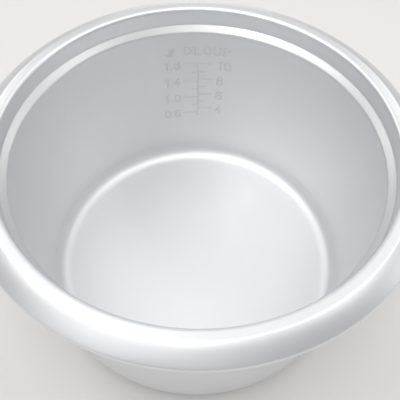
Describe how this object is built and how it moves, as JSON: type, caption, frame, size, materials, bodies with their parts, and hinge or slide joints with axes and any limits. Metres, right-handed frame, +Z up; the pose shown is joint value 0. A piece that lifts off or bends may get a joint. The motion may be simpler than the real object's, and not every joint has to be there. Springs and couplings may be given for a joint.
{
  "type": "rice cooker inner pot",
  "caption": "Deep round aluminium cooking pot for a rice cooker, with a tapered wall, a ledge that seats the lid, a wide falling brim and raised level marks.",
  "frame": {"origin": "middle of the flat underside, on the surface that the pot stands on", "axes": "+Z up along the axis of the pot; the level scale is inside the +Y wall, so it is read from -Y"},
  "size_m": [0.2664, 0.2664, 0.144],
  "materials": {
    "aluminium": "satin, fine blasted"
  },
  "bodies": {
    "root": {"inner_pot": "aluminium"}
  },
  "joints": []
}
